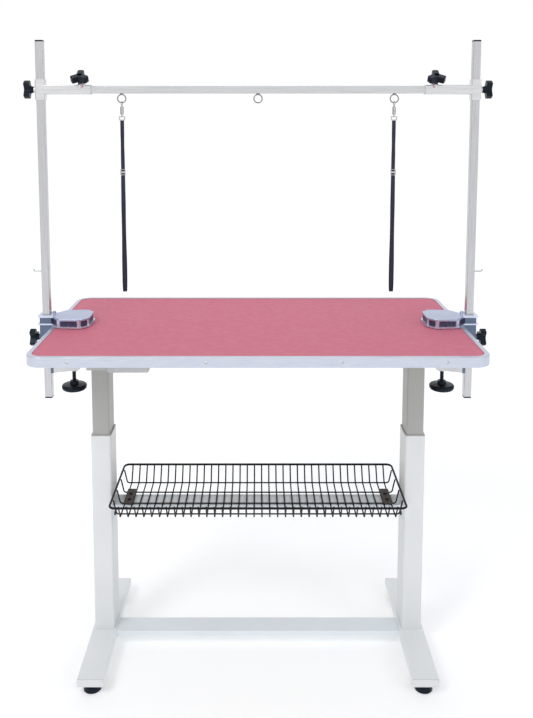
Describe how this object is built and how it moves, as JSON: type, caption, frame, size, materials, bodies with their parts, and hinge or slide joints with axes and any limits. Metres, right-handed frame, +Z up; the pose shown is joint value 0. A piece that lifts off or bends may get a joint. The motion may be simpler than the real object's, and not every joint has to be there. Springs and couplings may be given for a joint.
{
  "type": "grooming table",
  "caption": "Height-adjustable grooming table: rubber-topped rectangular top on two lifting columns, clamped overhead arm with nooses, wire basket, H base.",
  "frame": {"origin": "on the floor, under the centre of the table", "axes": "+X across the table to the right, +Y from front to back, +Z up"},
  "size_m": [1.2304, 0.6024, 1.645],
  "materials": {
    "black_plastic": "black moulded plastic",
    "black_wire": "black coated wire",
    "board": "plywood",
    "cast_aluminium": "polished cast aluminium",
    "dark_steel": "blackened steel",
    "housing_grey": "grey housing",
    "mat_rubber": "finely textured rose rubber",
    "nickel": "nickel plate",
    "powder_grey": "smooth light grey powder coat",
    "powder_white": "smooth white powder coat",
    "screw_steel": "machined steel",
    "steel_tube": "bright satin steel tube",
    "trim_aluminium": "satin anodised edge trim",
    "webbing": "black woven webbing"
  },
  "bodies": {
    "base": {"foot_left": "powder_white", "foot_right": "powder_white", "foot_end_caps": "powder_white", "levelling_feet": "black_plastic", "stretcher": "powder_white", "outer_column_left": "powder_white", "outer_column_right": "powder_white", "column_glides": "housing_grey", "lift_nuts": "screw_steel", "basket_beam": "powder_white", "base_screws": "dark_steel", "basket_floor_wires": "black_wire", "basket_front_wires": "black_wire", "basket_back_wires": "black_wire", "basket_end_wires": "black_wire", "basket_rim": "black_wire", "basket_clips": "dark_steel"},
    "table": {"inner_column_left": "powder_grey", "inner_column_right": "powder_grey", "side_plates": "powder_grey", "cross_rails": "powder_grey", "table_board": "board", "table_mat": "mat_rubber", "edge_trim": "trim_aluminium", "trim_rivets": "nickel", "gearbox_left": "housing_grey", "gearbox_right": "housing_grey", "lift_motor": "housing_grey", "control_box": "housing_grey"},
    "lift_screw_left": {"lift_screw_left": "screw_steel"},
    "lift_screw_right": {"lift_screw_right": "screw_steel"},
    "drive_shaft": {"drive_shaft": "screw_steel"},
    "clamp_left": {"clamp_casting_left": "cast_aluminium"},
    "pressure_pad_left": {"pressure_pad_left": "screw_steel"},
    "clamp_screw_left": {"clamp_screw_left": "black_plastic"},
    "clamp_knob_left": {"clamp_star_knob_left": "black_plastic"},
    "post_left": {"post_tube_left": "steel_tube", "post_caps_left": "black_plastic"},
    "corner_left": {"corner_sleeve_left": "steel_tube"},
    "top_knob_left": {"corner_top_knob_left": "black_plastic"},
    "side_knob_left": {"corner_side_knob_left": "black_plastic"},
    "clamp_right": {"clamp_casting_right": "cast_aluminium"},
    "pressure_pad_right": {"pressure_pad_right": "screw_steel"},
    "clamp_screw_right": {"clamp_screw_right": "black_plastic"},
    "clamp_knob_right": {"clamp_star_knob_right": "black_plastic"},
    "post_right": {"post_tube_right": "steel_tube", "post_caps_right": "black_plastic"},
    "corner_right": {"corner_sleeve_right": "steel_tube"},
    "top_knob_right": {"corner_top_knob_right": "black_plastic"},
    "side_knob_right": {"corner_side_knob_right": "black_plastic"},
    "bar": {"cross_bar": "steel_tube", "eye_rings": "nickel"},
    "snap_hook_left": {"snap_hook_left": "nickel"},
    "snap_bolt_left": {"snap_bolt_left": "nickel"},
    "noose_left": {"noose_hardware_left": "nickel", "noose_strap_left": "webbing"},
    "snap_hook_right": {"snap_hook_right": "nickel"},
    "snap_bolt_right": {"snap_bolt_right": "nickel"},
    "noose_right": {"noose_hardware_right": "nickel", "noose_strap_right": "webbing"}
  },
  "joints": [
    {"name": "height_lift", "type": "slide", "parent": "base", "child": "table", "axis": [0, 0, 1], "range_m": [-0.17, 0.2]},
    {"name": "lift_screw_left_spin", "type": "hinge", "parent": "table", "child": "lift_screw_left", "pos_m": [-0.421, -0.015, 0.826], "axis": [0, 0, 1], "range_deg": [-3061, 3601]},
    {"name": "lift_screw_right_spin", "type": "hinge", "parent": "table", "child": "lift_screw_right", "pos_m": [0.421, -0.015, 0.826], "axis": [0, 0, 1], "range_deg": [-3601, 3061]},
    {"name": "drive_shaft_spin", "type": "hinge", "parent": "table", "child": "drive_shaft", "pos_m": [0, -0.015, 0.826], "axis": [1, 0, 0], "range_deg": [-3061, 3601]},
    {"name": "clamp_left_slide", "type": "slide", "parent": "table", "child": "clamp_left", "axis": [0, 1, 0], "range_m": [-0.18, 0.18]},
    {"name": "pressure_pad_left_lift", "type": "slide", "parent": "clamp_left", "child": "pressure_pad_left", "axis": [0, 0, 1], "range_m": [-0.0181, 0.0001]},
    {"name": "clamp_screw_left_spin", "type": "hinge", "parent": "pressure_pad_left", "child": "clamp_screw_left", "pos_m": [-0.501, 0, 0.76], "axis": [0, 0, 1], "range_deg": [-4320, 0]},
    {"name": "clamp_knob_left_turn", "type": "hinge", "parent": "clamp_left", "child": "clamp_knob_left", "pos_m": [-0.591, 0, 0.853], "axis": [-1, 0, 0], "range_deg": [-720, 0]},
    {"name": "post_left_slide", "type": "slide", "parent": "clamp_left", "child": "post_left", "axis": [0, 0, 1], "range_m": [-0.04, 0.12]},
    {"name": "corner_left_slide", "type": "slide", "parent": "post_left", "child": "corner_left", "axis": [0, 0, 1], "range_m": [-0.04, 0.09]},
    {"name": "side_knob_left_turn", "type": "hinge", "parent": "corner_left", "child": "side_knob_left", "pos_m": [-0.588, 0, 1.517], "axis": [-1, 0, 0], "range_deg": [-720, 0]},
    {"name": "top_knob_left_turn", "type": "hinge", "parent": "corner_left", "child": "top_knob_left", "pos_m": [-0.462, 0, 1.517], "axis": [0, -0.5736, 0.8192], "range_deg": [-720, 0]},
    {"name": "clamp_right_slide", "type": "slide", "parent": "table", "child": "clamp_right", "axis": [0, 1, 0], "range_m": [-0.18, 0.18]},
    {"name": "pressure_pad_right_lift", "type": "slide", "parent": "clamp_right", "child": "pressure_pad_right", "axis": [0, 0, 1], "range_m": [-0.0181, 0.0001]},
    {"name": "clamp_screw_right_spin", "type": "hinge", "parent": "pressure_pad_right", "child": "clamp_screw_right", "pos_m": [0.501, 0, 0.76], "axis": [0, 0, 1], "range_deg": [-4320, 0]},
    {"name": "clamp_knob_right_turn", "type": "hinge", "parent": "clamp_right", "child": "clamp_knob_right", "pos_m": [0.591, 0, 0.853], "axis": [1, 0, 0], "range_deg": [-720, 0]},
    {"name": "post_right_slide", "type": "slide", "parent": "clamp_right", "child": "post_right", "axis": [0, 0, 1], "range_m": [-0.04, 0.12]},
    {"name": "corner_right_slide", "type": "slide", "parent": "post_right", "child": "corner_right", "axis": [0, 0, 1], "range_m": [-0.04, 0.09]},
    {"name": "side_knob_right_turn", "type": "hinge", "parent": "corner_right", "child": "side_knob_right", "pos_m": [0.588, 0, 1.517], "axis": [1, 0, 0], "range_deg": [-720, 0]},
    {"name": "top_knob_right_turn", "type": "hinge", "parent": "corner_right", "child": "top_knob_right", "pos_m": [0.462, 0, 1.517], "axis": [0, -0.5736, 0.8192], "range_deg": [-720, 0]},
    {"name": "bar_slide", "type": "slide", "parent": "corner_left", "child": "bar", "axis": [1, 0, 0], "range_m": [-0.03, 0.03]},
    {"name": "noose_left_swing", "type": "hinge", "parent": "bar", "child": "snap_hook_left", "pos_m": [-0.358, 0, 1.48275], "axis": [1, 0, 0], "range_deg": [-60, 60]},
    {"name": "noose_left_swivel", "type": "hinge", "parent": "snap_hook_left", "child": "noose_left", "pos_m": [-0.358, 0, 1.45], "axis": [0, 0, 1], "continuous": true},
    {"name": "snap_bolt_left_pull", "type": "slide", "parent": "snap_hook_left", "child": "snap_bolt_left", "axis": [0, 0, 1], "range_m": [-0.006, 0], "stiffness_N_per_m": 300, "springref_m": 0.004},
    {"name": "noose_right_swing", "type": "hinge", "parent": "bar", "child": "snap_hook_right", "pos_m": [0.358, 0, 1.48275], "axis": [1, 0, 0], "range_deg": [-60, 60]},
    {"name": "noose_right_swivel", "type": "hinge", "parent": "snap_hook_right", "child": "noose_right", "pos_m": [0.358, 0, 1.45], "axis": [0, 0, 1], "continuous": true},
    {"name": "snap_bolt_right_pull", "type": "slide", "parent": "snap_hook_right", "child": "snap_bolt_right", "axis": [0, 0, 1], "range_m": [-0.006, 0], "stiffness_N_per_m": 300, "springref_m": 0.004}
  ],
  "couplings": [
    {"joint": "lift_screw_left_spin", "follows": "height_lift", "rad_per_m": 314.16},
    {"joint": "lift_screw_right_spin", "follows": "height_lift", "rad_per_m": -314.16},
    {"joint": "drive_shaft_spin", "follows": "height_lift", "rad_per_m": 314.16},
    {"joint": "pressure_pad_left_lift", "follows": "clamp_screw_left_spin", "m_per_rad": 0.00023873},
    {"joint": "pressure_pad_right_lift", "follows": "clamp_screw_right_spin", "m_per_rad": 0.00023873},
    {"joint": "clamp_right_slide", "follows": "clamp_left_slide", "ratio": 1},
    {"joint": "post_right_slide", "follows": "post_left_slide", "ratio": 1},
    {"joint": "corner_right_slide", "follows": "corner_left_slide", "ratio": 1}
  ]
}
